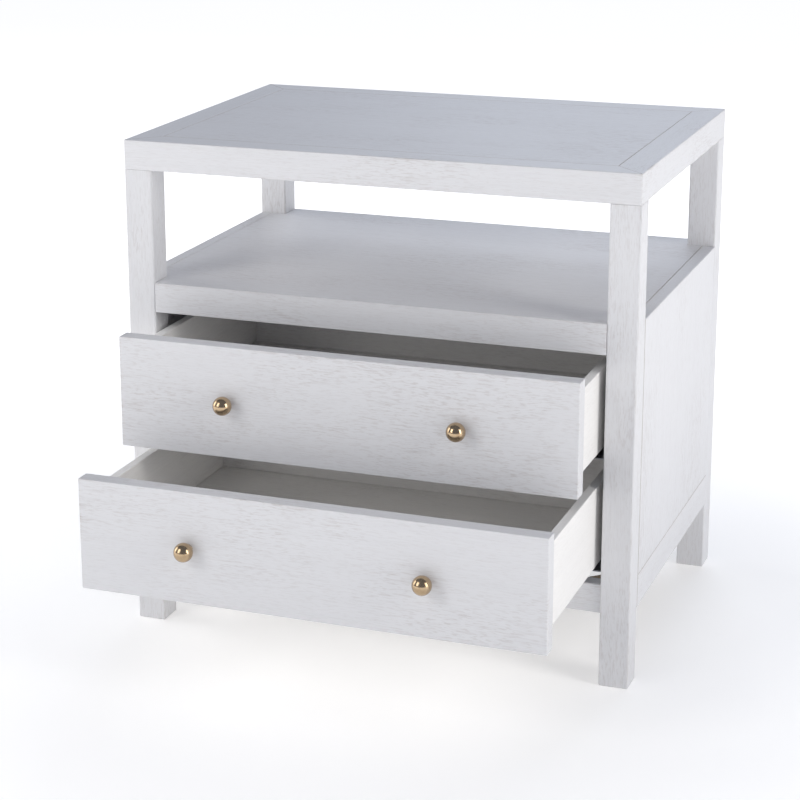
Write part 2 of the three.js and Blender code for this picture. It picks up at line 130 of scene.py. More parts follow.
class NightstandFinishSettings(bpy.types.PropertyGroup):
    wash: FloatVectorProperty(
        name="White wash", description="Colour of the wash on the outside",
        subtype="COLOR", size=3, default=(0.70, 0.70, 0.715), min=0.0, max=1.0,
    )
    raw: FloatVectorProperty(
        name="Bare grain", description="Colour of the wood that shows through the wash",
        subtype="COLOR", size=3, default=(0.36, 0.30, 0.27), min=0.0, max=1.0,
    )
    joint: FloatVectorProperty(
        name="Joint line", description="Colour of the fine lines where two boards meet",
        subtype="COLOR", size=3, default=(0.42, 0.375, 0.345), min=0.0, max=1.0,
    )
    # The drawer boxes' wash is partly a thinner wash and partly painted light: it is much lighter
    # than the outside wash so that the shaded drawer interiors look brighter.
    inside: FloatVectorProperty(
        name="Inside wash", description="Colour of the thinner wash on the drawer boxes",
        subtype="COLOR", size=3, default=(0.90, 0.885, 0.86), min=0.0, max=1.0,
    )
    frame_wood: FloatVectorProperty(
        name="Frame wood", description="Colour of the bare blocks and cleats inside the case",
        subtype="COLOR", size=3, default=(0.42, 0.31, 0.20), min=0.0, max=1.0,
    )
    grain: FloatProperty(
        name="Grain strength", description="How much bare grain shows through the wash",
        subtype="FACTOR", default=0.54, min=0.0, max=1.0,
    )
    brass: FloatVectorProperty(
        name="Brass", description="Colour of the polished knobs",
        subtype="COLOR", size=3, default=(0.44, 0.32, 0.195), min=0.0, max=1.0,
    )
    zinc: FloatVectorProperty(
        name="Zinc", description="Colour of the zinc-plated slides",
        subtype="COLOR", size=3, default=(0.50, 0.52, 0.56), min=0.0, max=1.0,
    )
    steel: FloatVectorProperty(
        name="Screw steel", description="Colour of the knob screws",
        subtype="COLOR", size=3, default=(0.36, 0.36, 0.37), min=0.0, max=1.0,
    )


class NightstandStudioSettings(bpy.types.PropertyGroup):
    aim: FloatVectorProperty(
        name="Aim", description="Point that the camera looks at",
        subtype="XYZ", unit="LENGTH", size=3, default=(0.0, -0.2165, 0.4944),
    )
    azimuth: FloatProperty(
        name="Azimuth", description="Camera's turn round the nightstand, from the front",
        subtype="ANGLE", default=math.radians(21.24),
    )
    elevation: FloatProperty(
        name="Elevation", description="Camera's height above the aim, as an angle",
        subtype="ANGLE", default=math.radians(15.2),
    )
    roll: FloatProperty(
        name="Roll", description="Camera's tilt about its own line of sight",
        subtype="ANGLE", default=math.radians(-0.41),
    )
    distance: FloatProperty(
        name="Distance", description="Camera's distance from the aim",
        default=2.748, min=0.5, unit="LENGTH",
    )
    lens: FloatProperty(name="Lens", description="Focal length in millimetres", default=98.04)
    shift: FloatVectorProperty(
        name="Shift", description="Lens shift across and up, as a share of the frame",
        size=2, default=(0.07, -0.10),
    )
    floor_colour: FloatVectorProperty(
        name="Floor", description="Colour of the studio floor",
        subtype="COLOR", size=3, default=(0.93, 0.93, 0.935), min=0.0, max=1.0,
    )
    glow_colour: FloatVectorProperty(
        name="Glow colour", description="Colour of the light that the floor gives off",
        subtype="COLOR", size=3, default=(1.0, 0.985, 0.96), min=0.0, max=1.0,
    )
    near_glow: FloatProperty(
        name="Near glow", description="Light given off by the floor under the nightstand",
        default=0.31, min=0.0,
    )
    far_glow: FloatProperty(
        name="Far glow", description="Light given off by the floor well away from the nightstand",
        default=0.80, min=0.0,
    )
    glow_start: FloatProperty(
        name="Glow start", description="Distance at which the floor's glow starts to grow",
        default=0.45, unit="LENGTH",
    )
    glow_end: FloatProperty(
        name="Glow end", description="Distance at which the floor's glow is full",
        default=1.5, unit="LENGTH",
    )
    sky: FloatVectorProperty(
        name="Sky", description="Colour of the faint light from all round",
        subtype="COLOR", size=3, default=(0.18, 0.20, 0.255), min=0.0, max=1.0,
    )
    light_level: FloatProperty(
        name="Light level", description="Factor on the power of every studio light", default=0.93,
    )
    gamma: FloatProperty(
        name="Gamma", description="Lift of the shadows in the picture", default=1.12,
    )


def boards():
    return bpy.context.scene.nightstand_boards


def finish():
    return bpy.context.scene.nightstand_finish


# ---- Materials ------------------------------------------------------------------------------


class Graph:
    """A node tree under construction. Its methods add nodes, wire them and return their outputs."""

    def __init__(self, tree):
        self.tree = tree
        self.tree.nodes.clear()
        self.column = 0

    def add(self, kind, **values):
        node = self.tree.nodes.new(kind)
        self.column += 1
        node.location = (180 * self.column, -40 * (self.column % 6))
        for name, value in values.items():
            setattr(node, name, value)
        return node

    def feed(self, node, **inputs):
        for name, value in inputs.items():
            self.put(node.inputs[name.replace("_", " ")], value)
        return node

    def put(self, socket, value):
        if isinstance(value, bpy.types.NodeSocket):
            self.tree.links.new(value, socket)
        else:
            socket.default_value = value

    def math(self, operation, first, second=0.0, clamp=False):
        node = self.add("ShaderNodeMath", operation=operation, use_clamp=clamp)
        self.put(node.inputs[0], first)
        self.put(node.inputs[1], second)
        return node.outputs[0]

    def times(self, value, factor):
        """The value multiplied by a number or by another output."""
        return self.math("MULTIPLY", value, factor)

    def swing(self, noise, amount):
        """The noise about its middle, so that it adds and takes away in equal parts."""
        return self.times(self.math("SUBTRACT", noise, 0.5), amount)

    def total(self, *values, clamp=False):
        """The sum of the values, held between 0 and 1 if clamped."""
        result = values[0]
        for value in values[1:]:
            result = self.math("ADD", result, value, clamp=clamp)
        return result

    def vector(self, operation, first, second=(0.0, 0.0, 0.0)):
        node = self.add("ShaderNodeVectorMath", operation=operation)
        self.put(node.inputs[0], first)
        self.put(node.inputs[1], second)
        return node.outputs["Vector"]

    def noise(self, where, stretch, detail=2.0, roughness=0.5):
        """Noise whose cells are one over the stretch long, wide and deep, in metres."""
        node = self.add("ShaderNodeTexNoise", noise_dimensions="3D")
        scaled = self.vector("MULTIPLY", where, stretch)
        self.feed(node, Vector=scaled, Scale=1.0, Detail=detail, Roughness=roughness)
        return node.outputs["Fac"]

    def ramp(self, value, low, high, out_low=0.0, out_high=1.0):
        """A smooth rise from out_low, where the value is low, to out_high, where it is high."""
        node = self.add("ShaderNodeMapRange", interpolation_type="SMOOTHSTEP")
        self.feed(node, Value=value, From_Min=low, From_Max=high, To_Min=out_low, To_Max=out_high)
        return node.outputs["Result"]

    def mix(self, factor, first, second):
        node = self.add("ShaderNodeMix", data_type="RGBA")
        self.put(node.inputs[0], factor)
        self.put(node.inputs[6], first)
        self.put(node.inputs[7], second)
        return node.outputs[2]

    def bump(self, height, strength, distance):
        node = self.add("ShaderNodeBump")
        self.feed(node, Height=height, Strength=strength, Distance=distance)
        return node.outputs["Normal"]


def group_tree(name, inputs, outputs):
    """A shader node group with (name, socket kind) inputs and outputs."""
    tree = bpy.data.node_groups.new(name, "ShaderNodeTree")
    for in_out, sockets in (("INPUT", inputs), ("OUTPUT", outputs)):
        for label, kind in sockets:
            tree.interface.new_socket(label, in_out=in_out, socket_type=kind)
    graph = Graph(tree)
    entry = graph.add("NodeGroupInput")
    leave = graph.add("NodeGroupOutput")
    return graph, entry.outputs, leave.inputs


def arris_group():
    """How near a point on a board is to the board's edges, in metres.

    The board is a box about a centre. On its surface one of the three depths below the faces is
    nought, so the second smallest depth is the distance to the nearest edge.
    """
    graph, given, leave = group_tree(
        "Distance to arris",
        [("Point", "NodeSocketVector"), ("Centre", "NodeSocketVector"), ("Half", "NodeSocketVector")],
        [("Distance", "NodeSocketFloat")],
    )
    offset = graph.vector("SUBTRACT", given["Point"], given["Centre"])
    depth = graph.vector("SUBTRACT", given["Half"], graph.vector("ABSOLUTE", offset))
    split = graph.feed(graph.add("ShaderNodeSeparateXYZ"), Vector=depth)
    first, second, third = split.outputs
    low = graph.math("MINIMUM", first, second)
    high = graph.math("MAXIMUM", first, second)
    graph.put(leave["Distance"], graph.math("MAXIMUM", low, graph.math("MINIMUM", high, third)))
    return graph.tree


# Cells of noise per metre: along the grain, across it and into the board.
SWAY = (2.2, 9.0, 9.0)
FIBRES = (9.0, 620.0, 620.0)
FLECKS = (85.0, 600.0, 600.0)
STREAKS = (34.0, 340.0, 340.0)
RINGS = (0.9, 60.0, 60.0)
PATCHES = (5.0, 12.0, 12.0)
CLOUDS = (2.0, 4.0, 4.0)
# How far the grain wanders, across the board and into it.
SWAY_ACROSS = 16 * MM
SWAY_INTO = 11 * MM
# How far in from an arris the wash is rubbed thin, and between which distances a painted highlight
# lightens it along the arris.
RUBBED_WIDTH = 4.5 * MM
PAINTED_HIGHLIGHT_FROM = 3.2 * MM
PAINTED_HIGHLIGHT_TO = 0.6 * MM
# Shares of bare grain in a fleck, in a streak and on a rubbed arris.
FLECK_SHARE = 0.55
STREAK_SHARE = 0.42
RUBBED_SHARE = 0.50
# How much each of these lightens or darkens the wash.
RING_TONE = 0.05
CLOUD_TONE = 0.06
FIBRE_TONE = 0.12
# Painted highlight: the wash is made lighter next to each arris, as if the rounded edge caught the
# light.
PAINTED_HIGHLIGHT_TONE = 0.035
# Roughness of the wash, and how much the fibres and bare grain change it.
WASH_ROUGHNESS = 0.50
FIBRE_ROUGHNESS = 0.25
BARE_ROUGHNESS = 0.22
# Height of the fibres, and depth of flecks and streaks, as shares of the bump's distance.
FIBRE_HEIGHT = 0.45
FLECK_DEPTH = 0.8
STREAK_DEPTH = 0.35


def grain_group():
    """White wash over wood whose grain runs along X of the given point.

    Bare is how much bare grain shows through the wash, Tone lightens or darkens the whole
    and carries a painted highlight along the arrises, Roughness is that of the surface and
    Height is the relief of the open grain.
    """
    graph, given, leave = group_tree(
        "Washed grain",
        [("Point", "NodeSocketVector"), ("Edge", "NodeSocketFloat")],
        [
            ("Bare", "NodeSocketFloat"), ("Tone", "NodeSocketFloat"),
            ("Roughness", "NodeSocketFloat"), ("Height", "NodeSocketFloat"),
        ],
    )
    sway = graph.noise(given["Point"], SWAY)
    lean = graph.feed(
        graph.add("ShaderNodeCombineXYZ"),
        Y=graph.times(sway, SWAY_ACROSS), Z=graph.times(sway, SWAY_INTO),
    ).outputs[0]
    point = graph.vector("ADD", given["Point"], lean)
    fibres = graph.noise(point, FIBRES, detail=4.0, roughness=0.65)
    flecks = graph.noise(point, FLECKS, roughness=0.55)
    streaks = graph.noise(point, STREAKS, detail=3.0, roughness=0.6)
    rings = graph.noise(point, RINGS, roughness=0.45)
    patches = graph.noise(given["Point"], PATCHES, detail=3.0, roughness=0.55)
    clouds = graph.noise(given["Point"], CLOUDS)

    thin_wash = graph.ramp(patches, 0.42, 0.68, 0.25, 0.85)
    fleck = graph.times(graph.ramp(flecks, 0.51, 0.64), thin_wash)
    streak = graph.times(graph.ramp(streaks, 0.50, 0.72), thin_wash)
    near_arris = graph.times(graph.ramp(given["Edge"], 0.0, RUBBED_WIDTH, 1.0, 0.0), thin_wash)
    rubbed = graph.times(near_arris, graph.ramp(streaks, 0.36, 0.62))
    open_grain = graph.total(graph.times(fleck, FLECK_SHARE), graph.times(streak, STREAK_SHARE))
    bare = graph.total(open_grain, graph.times(rubbed, RUBBED_SHARE), clamp=True)
    graph.put(leave["Bare"], bare)

    # Painted highlight along the arrises: the tone is lighter within a few millimetres of each edge.
    painted_highlight = graph.ramp(given["Edge"], PAINTED_HIGHLIGHT_TO, PAINTED_HIGHLIGHT_FROM, PAINTED_HIGHLIGHT_TONE, 0.0)
    tone = graph.total(
        graph.swing(rings, RING_TONE), 1.0, graph.swing(clouds, CLOUD_TONE),
        graph.swing(fibres, FIBRE_TONE), painted_highlight,
    )
    graph.put(leave["Tone"], tone)

    roughness = graph.total(
        graph.swing(fibres, FIBRE_ROUGHNESS), graph.times(bare, BARE_ROUGHNESS), WASH_ROUGHNESS,
    )
    graph.put(leave["Roughness"], roughness)

    height = graph.total(
        graph.times(fibres, FIBRE_HEIGHT), graph.times(fleck, -FLECK_DEPTH),
        graph.times(streak, -STREAK_DEPTH),
    )
    graph.put(leave["Height"], height)
    return graph.tree


GRAIN_TURN = {
    "X": (0.0, 0.0, 0.0),
    "Y": (0.0, 0.0, -math.pi / 2),
    "Z": (0.0, math.pi / 2, 0.0),
}
CHANCE = random.Random(27)
# How far, in metres, a board's grain may be taken from the middle of the pattern.
FRESH_WITHIN = 3.0


def grain_point(graph, where, grain):
    """Object coordinates, turned so that X runs along the grain and moved to a fresh board."""
    shift = tuple(CHANCE.uniform(-FRESH_WITHIN, FRESH_WITHIN) for _ in range(3))
    mapping = graph.add("ShaderNodeMapping", vector_type="POINT")
    graph.feed(mapping, Vector=where, Rotation=GRAIN_TURN[grain], Location=shift)
    return mapping.outputs["Vector"]


def group_node(graph, name, maker, **inputs):
    tree = bpy.data.node_groups.get(name) or maker()
    return graph.feed(graph.add("ShaderNodeGroup", node_tree=tree), **inputs)


def shade_of(colour, factors=(1.0, 1.0, 1.0)):
    """A colour with each channel multiplied by its factor, and full alpha."""
    return (*[channel * factor for channel, factor in zip(colour, factors)], 1.0)


def new_material(name):
    material = bpy.data.materials.new(name)
    material.use_nodes = True
    return material, Graph(material.node_tree)


def finish_surface(graph, colour, roughness, normal, **constants):
    """The shader itself. What is the same all over goes straight onto its sockets."""
    shader = graph.add("ShaderNodeBsdfPrincipled")
    graph.feed(shader, Base_Color=colour, Roughness=roughness, Normal=normal, **constants)
    out = graph.add("ShaderNodeOutputMaterial")
    graph.put(out.inputs["Surface"], shader.outputs["BSDF"])


def washed_wood(name, node, grain, colour, strength):
    """White-washed wood for one board, with its own stretch of grain."""
    low, high = (Vector(corner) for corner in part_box(node))
    material, graph = new_material(name)
    where = graph.add("ShaderNodeTexCoord").outputs["Object"]
    point = grain_point(graph, where, grain)
    edge = group_node(
        graph, "Distance to arris", arris_group,
        Point=where, Centre=(low + high) / 2, Half=(high - low) / 2,
    ).outputs["Distance"]
    grained = group_node(graph, "Washed grain", grain_group, Point=point, Edge=edge)
    bare = graph.times(grained.outputs["Bare"], strength)
    mixed = graph.mix(bare, shade_of(colour), shade_of(finish().raw))
    shade = graph.vector("SCALE", mixed)
    graph.put(shade.node.inputs["Scale"], grained.outputs["Tone"])
    normal = graph.bump(grained.outputs["Height"], 0.35, 0.25 * MM)
    finish_surface(
        graph, shade, grained.outputs["Roughness"], normal,
        Coat_Weight=0.12, Coat_Roughness=0.38,
    )
    return material


def bare_wood(name, grain):
    """Sanded wood with no finish: warm, with darker late wood and short pores."""
    material, graph = new_material(name)
    where = graph.add("ShaderNodeTexCoord").outputs["Object"]
    point = grain_point(graph, where, grain)
    rings = graph.noise(point, (1.4, 90.0, 90.0), detail=3.0)
    pores = graph.ramp(graph.noise(point, (40.0, 900.0, 900.0)), 0.55, 0.7)
    early = shade_of(finish().frame_wood)
    late = shade_of(finish().frame_wood, (0.62, 0.62, 0.62))
    ringed = graph.mix(graph.ramp(rings, 0.4, 0.65), early, late)
    colour = graph.mix(graph.times(pores, 0.5), ringed, late)
    roughness = graph.ramp(rings, 0.3, 0.7, 0.62, 0.8)
    normal = graph.bump(graph.math("SUBTRACT", rings, pores), 0.3, 0.2 * MM)
    finish_surface(graph, colour, roughness, normal)
    return material


def brass_material():
    """Polished brass with a little tarnish, fine polishing marks and finger marks."""
    material, graph = new_material("Polished brass")
    where = graph.add("ShaderNodeTexCoord").outputs["Object"]
    tarnish = graph.noise(where, (160.0, 160.0, 160.0), detail=4.0, roughness=0.6)
    marks = graph.noise(where, (900.0, 900.0, 5200.0), detail=2.0)
    smears = graph.noise(where, (70.0, 90.0, 60.0), detail=2.0)
    bright = shade_of(finish().brass)
    dull = shade_of(finish().brass, (0.78, 0.70, 0.62))
    colour = graph.mix(graph.ramp(tarnish, 0.45, 0.75, 0.0, 0.6), bright, dull)
    roughness = graph.total(
        graph.ramp(smears, 0.35, 0.7, 0.15, 0.24), graph.ramp(tarnish, 0.5, 0.8, 0.0, 0.08),
    )
    normal = graph.bump(marks, 0.06, 0.05 * MM)
    finish_surface(graph, colour, roughness, normal, Metallic=1.0)
    return material


def plated_material(name, colour, stretch, shine):
    """Plated steel: crystalline zinc clouds, and rolling marks along the given stretch.

    Shine is the least roughness, and the rolling marks add up to 0.18 to it.
    """
    material, graph = new_material(name)
    where = graph.add("ShaderNodeTexCoord").outputs["Object"]
    clouds = graph.noise(where, (60.0, 60.0, 60.0), detail=3.0)
    rolled = graph.noise(where, stretch, detail=3.0, roughness=0.6)
    dull = shade_of(colour, (0.74, 0.74, 0.74))
    shade = graph.mix(graph.ramp(clouds, 0.35, 0.7), shade_of(colour), dull)
    roughness = graph.ramp(rolled, 0.3, 0.7, shine, shine + 0.18)
    normal = graph.bump(rolled, 0.12, 0.05 * MM)
    finish_surface(graph, shade, roughness, normal, Metallic=1.0)
    return material


# ---- Shaping --------------------------------------------------------------------------------


LEFT, RIGHT = (-1, 0, 0), (1, 0, 0)
FORWARD, BACKWARD = (0, -1, 0), (0, 1, 0)
UP, DOWN = (0, 0, 1), (0, 0, -1)
# A face looks partly along an axis if its normal has at least this much along it.
PARTLY = 0.3
# And it looks straight along a direction if its normal has at least this much along it.
STRAIGHT = 0.999


def ease(bm, edges, radius, segments, slot=0):
    """Rounds the given edges. The new faces shade smoothly and the flats stay flat."""
    if not edges or radius <= 0.0:
        return
    made = bmesh.ops.bevel(
        bm, geom=edges, offset=radius, offset_type="OFFSET", segments=segments,
        profile=0.5, affect="EDGES", clamp_overlap=True, material=-1,
    )
    for face in made["faces"]:
        face.smooth = True
        face.material_index = slot


def faces_towards(bm, directions):
    """The flat faces whose outward normal is one of the given directions."""
    wanted = [Vector(direction).normalized() for direction in directions]
    bm.normal_update()
    return [
        face for face in bm.faces
        if not face.smooth and any(face.normal.dot(way) > STRAIGHT for way in wanted)
    ]


def edges_round(bm, directions):
    """The edges of the flat faces that look one of the given ways."""
    flat = set(faces_towards(bm, directions))
    return [edge for edge in bm.edges if flat.intersection(edge.link_faces)]


def sharp_edges(bm, least=math.radians(30.0)):
    return [
        edge for edge in bm.edges
        if edge.is_manifold and edge.calc_face_angle(0.0) > least
    ]


def ease_board(bm, arris, joints=(), slot=1):
    """Rounds a board's arrises, and gives the edges of its joint faces a fine chamfer."""
    held = edges_round(bm, joints)
    ease(bm, [edge for edge in sharp_edges(bm) if edge not in held], arris, boards().segments)
    if joints:
        ease(bm, edges_round(bm, joints), boards().joint, 1, slot)


def box_mesh(low, high):
    """A bmesh box between two corners."""
    size = high - low
    place = Matrix.Translation((low + high) / 2) @ Matrix.Diagonal((*size, 1.0))
    bm = bmesh.new()
    bmesh.ops.create_cube(bm, size=1.0, matrix=place)
    return bm


def node_copy(node):
    """The node's own solid, with its loose triangles merged into plain flat faces."""
    bm = bmesh.new()
    bm.from_mesh(frame["nodes"][node].data)
    bmesh.ops.remove_doubles(bm, verts=bm.verts, dist=WELD)
    bmesh.ops.dissolve_limit(
        bm, angle_limit=math.radians(1.0), verts=bm.verts, edges=bm.edges, delimit=set(),
    )
    bmesh.ops.recalc_face_normals(bm, faces=bm.faces)
    for face in bm.faces:
        face.smooth = False
    return bm


def score(bm, flat, place, way):
    """Cuts the given flat faces along a plane, and leaves the rest of the mesh whole."""
    geometry = dict.fromkeys(item for face in flat for item in (*face.verts, *face.edges, face))
    bmesh.ops.bisect_plane(bm, geom=list(geometry), plane_co=place, plane_no=way)


def sink(bm, mouth, depth):
    """Sinks the given back faces forwards by a depth, with walls, and returns the moved corners."""
    sunk = bmesh.ops.extrude_face_region(bm, geom=mouth)
    moved = [item for item in sunk["geom"] if isinstance(item, bmesh.types.BMVert)]
    bmesh.ops.translate(bm, verts=moved, vec=(0, -depth, 0))
    bmesh.ops.delete(bm, geom=mouth, context="FACES_ONLY")
    return moved


def turned(centre, outline, turns):
    """Turns an outline of (radius, y) points about the front-to-back axis through the centre."""
    bm = bmesh.new()
    verts = [bm.verts.new((centre.x + radius, y, centre.z)) for radius, y in outline]
    edges = [bm.edges.new(pair) for pair in zip(verts, verts[1:])]
    bmesh.ops.spin(
        bm, geom=verts + edges, cent=centre, axis=(0, 1, 0), angle=2 * math.pi,
        steps=turns, use_merge=True, use_duplicate=False,
    )
    bmesh.ops.remove_doubles(bm, verts=bm.verts, dist=WELD)
    return bm


def make_piece(name, bm, materials, nodes):
    """Turns a bmesh into a finished object that stands for the given nodes and rides with them."""
    bmesh.ops.recalc_face_normals(bm, faces=bm.faces)
    mesh = bpy.data.meshes.new(name)
    bm.to_mesh(mesh)
    bm.free()
    for material in materials:
        mesh.materials.append(material)
    piece = bpy.data.objects.new(name, mesh)
    bpy.context.scene.collection.objects.link(piece)
    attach(piece, BODY_OF[nodes[0]])
    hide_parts(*nodes)


def make_board(node, grain, joints=(), arris=None, slot=1):
    """A plain rectangular board in the place of a node.

    Slot 1 gives its joints the colour of a fine line, and slot 0 that of the board.
    """
    bm = box_mesh(*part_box(node))
    ease_board(bm, boards().arris if arris is None else arris, joints, slot)
    make_piece(f"{node}_board", bm, washed_board(node, grain), [node])


def washed_board(node, grain):
    """The two finishes of an outside board: its faces and its joint lines."""
    return [
        washed_wood(f"Washed wood {node}", node, grain, finish().wash, finish().grain),
        washed_wood(f"Joint line {node}", node, grain, finish().joint, 1.0),
    ]


# ---- Operators ------------------------------------------------------------------------------


class MakeLegs(bpy.types.Operator):
    """Make the four legs, with rounded feet and their grain upright"""

    bl_idname = "nightstand.make_legs"
    bl_label = "Make legs"

    def execute(self, context):
        for end in ENDS:
            for side in SIDES:
                make_board(f"leg_{end}_{side}", "Z", joints=[UP], arris=boards().leg, slot=0)
        return {"FINISHED"}


class MakeTop(bpy.types.Operator):
    """Make the four mitred aprons and the top panel let in flush between them"""

    bl_idname = "nightstand.make_top"
    bl_label = "Make top"

    def mitred(self, node):
        """Rounds an apron, cuts both its ends to 45 degrees and marks the lines of its joints."""
        low, high = (Vector(corner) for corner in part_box(node))
        along = 0 if high.x - low.x > high.y - low.y else 1
        across = 1 - along
        outwards = -1.0 if low[across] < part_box("top_panel")[0][across] else 1.0
        inner, outer = (high, low) if outwards < 0.0 else (low, high)

        bm = box_mesh(low, high)
        outer_top = [
            vert for vert in bm.verts
            if abs(vert.co[across] - outer[across]) < TOUCH and vert.co.z > high.z - TOUCH
        ]
        rounded = [edge for edge in bm.edges if any(vert in outer_top for vert in edge.verts)]
        ease(bm, rounded, boards().arris, boards().segments)
        ease(bm, edges_round(bm, [DOWN]), boards().joint, 1)

        mitres = []
        for end, corner in ((-1.0, low), (1.0, high)):
            place, way = Vector(), Vector()
            place[along], place[across] = corner[along], outer[across]
            way[along], way[across] = end, -outwards
            mitres.append((place, way.normalized()))
        for place, way in mitres:
            self.cut(bm, place, way)
        beside_panel = [
            edge for edge in bm.edges
            if all(abs(vert.co[across] - inner[across]) < TOUCH and vert.co.z > high.z - TOUCH
                   for vert in edge.verts)
        ]
        ease(bm, beside_panel, boards().joint, 1, slot=1)
        for place, way in mitres:
            self.mark(bm, place - way * boards().mitre, way)
        make_piece(f"{node}_board", bm, washed_board(node, "XY"[along]), [node])

    def cut(self, bm, place, way):
        """Saws off what lies beyond a plane, and closes the sawn end."""
        sawn = bmesh.ops.bisect_plane(
            bm, geom=bm.verts[:] + bm.edges[:] + bm.faces[:], dist=TOUCH,
            plane_co=place, plane_no=way, clear_outer=True,
        )
        rim = [item for item in sawn["geom_cut"] if isinstance(item, bmesh.types.BMEdge)]
        bmesh.ops.holes_fill(bm, edges=rim, sides=0)

    def mark(self, bm, place, way):
        """Gives what lies beyond a plane the colour of a joint line, where it is seen from above."""
        bmesh.ops.bisect_plane(
            bm, geom=bm.verts[:] + bm.edges[:] + bm.faces[:], dist=TOUCH,
            plane_co=place, plane_no=way,
        )
        bm.normal_update()
        for face in bm.faces:
            beyond = (face.calc_center_median() - place).dot(way) > 0.0
            if beyond and face.normal.z > PARTLY:
                face.material_index = 1

    def execute(self, context):
        for node in ("apron_front", "apron_back", "apron_left", "apron_right"):
            self.mitred(node)
        make_board("top_panel", "X", joints=[LEFT, RIGHT, FORWARD, BACKWARD])
        return {"FINISHED"}


class MakeShelf(bpy.types.Operator):
    """Make the notched shelf with fine lines at its ends, its front edge and its back rail"""

    bl_idname = "nightstand.make_shelf"
    bl_label = "Make shelf"

    def execute(self, context):
        for node in ("shelf_panel", "shelf_front_edge"):
            bm = node_copy(node)
            ease(bm, sharp_edges(bm), boards().joint, 2)
            for face in bm.faces:
                if face.smooth and abs(face.normal.x) > PARTLY and face.normal.z > PARTLY:
                    face.material_index = 1
            make_piece(f"{node}_board", bm, washed_board(node, "X"), [node])
        make_board("shelf_back_rail", "X", joints=[LEFT, RIGHT, UP])
        return {"FINISHED"}


class MakeWalls(bpy.types.Operator):
    """Make the side panels, the bottom rails and the back panel"""

    bl_idname = "nightstand.make_walls"
    bl_label = "Make walls"

    def execute(self, context):
        for side in SIDES:
            make_board(f"side_panel_{side}", "Z", joints=[FORWARD, BACKWARD, DOWN])
            make_board(f"side_rail_{side}", "Y", joints=[FORWARD, BACKWARD, UP])
        make_board("front_rail", "X", joints=[LEFT, RIGHT])
        make_board("back_rail", "X", joints=[LEFT, RIGHT, UP])
        make_board("back_panel", "X", joints=[LEFT, RIGHT, UP, DOWN])
        return {"FINISHED"}


class MakeBlocks(bpy.types.Operator):
    """Finish the glue blocks and the slides' cleats in bare wood"""

    bl_idname = "nightstand.make_blocks"
    bl_label = "Finish blocks and cleats"

    def execute(self, context):
        for node in NODES:
            if SLOT_OF[node] == "frame_wood":
                grain = "Y" if "cleat" in node else "Z"
                bm = node_copy(node)
                ease(bm, sharp_edges(bm), boards().block, 2)
                make_piece(f"{node}_wood", bm, [bare_wood(f"Bare wood {node}", grain)], [node])
        return {"FINISHED"}


class MakeDrawers(bpy.types.Operator):
    """Make each drawer's front, sides, back and bottom"""

    bl_idname = "nightstand.make_drawers"
    bl_label = "Make drawers"

    box_parts = (("side_left", "Y"), ("side_right", "Y"), ("back", "X"), ("bottom", "X"))
    inside_grain = 0.6

    def front(self, level):
        """An eased front with a stopped groove for the bottom."""
        node = f"{level}_drawer_front"
        room = Vector((boards().groove_room,) * 3)
        low, high = (Vector(corner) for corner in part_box(f"{level}_drawer_bottom"))
        low, high = low - room, high + room
        bm = box_mesh(*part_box(node))
        ease_board(bm, boards().front)
        for place, way in ((low, LEFT), (high, RIGHT), (low, DOWN), (high, UP)):
            score(bm, faces_towards(bm, [BACKWARD]), place, way)
        mouth = [
            face for face in faces_towards(bm, [BACKWARD])
            if low.x < face.calc_center_median().x < high.x
            and low.z < face.calc_center_median().z < high.z
        ]
        sink(bm, mouth, mouth[0].calc_center_median().y - low.y)
        make_piece(f"{node}_board", bm, washed_board(node, "X"), [node])

    def box_part(self, node, grain):
        """A side, the back or the bottom, with a thinner wash than the outside, made lighter still as
        painted light for the shaded drawer interior.
        """
        bm = node_copy(node) if "side" in node else box_mesh(*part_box(node))
        ease(bm, sharp_edges(bm), boards().box, 3)
        material = washed_wood(
            f"Drawer wood {node}", node, grain, finish().inside, finish().grain * self.inside_grain,
        )
        make_piece(f"{node}_board", bm, [material], [node])

    def execute(self, context):
        for level in LEVELS:
            self.front(level)
            for part, grain in self.box_parts:
                self.box_part(f"{level}_drawer_{part}", grain)
        return {"FINISHED"}


class MakeKnobs(bpy.types.Operator):
    """Turn the round knobs on their short necks"""

    bl_idname = "nightstand.make_knobs"
    bl_label = "Make knobs"

    ball_steps = 28
    turns = 56
    # Radius of the foot ring and of the cove's waist, as shares of the ball's radius.
    foot_share = 0.50
    waist_share = 0.36

    def profile(self, radius, projection):
        """Radius and distance from the drawer front: a foot ring, a cove and the ball."""
        neck = projection - 2 * radius
        foot = self.foot_share * radius
        waist = self.waist_share * radius
        points = [(0.0, 0.0), (foot * 0.94, 0.0), (foot, neck * 0.16), (foot, neck * 0.34)]
        points += [(foot * 0.94, neck * 0.48), (waist, neck * 0.62)]
        start = math.asin(waist / radius)
        for step in range(self.ball_steps + 1):
            angle = start + (math.pi - start) * step / self.ball_steps
            reach = radius * math.sin(angle) if step < self.ball_steps else 0.0
            points.append((reach, neck + radius - radius * math.cos(angle)))
        return points

    def execute(self, context):
        material = brass_material()
        for level in LEVELS:
            for side in SIDES:
                node = f"{level}_knob_{side}"
                low, high = (Vector(corner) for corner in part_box(node))
                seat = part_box(f"{level}_drawer_front")[0][1]
                profile = self.profile((high.x - low.x) / 2, seat - low.y)
                outline = [(radius, seat - distance) for radius, distance in profile]
                bm = turned((low + high) / 2, outline, self.turns)
                for face in bm.faces:
                    face.smooth = True
                make_piece(f"{node}_turned", bm, [material], [node])
        return {"FINISHED"}


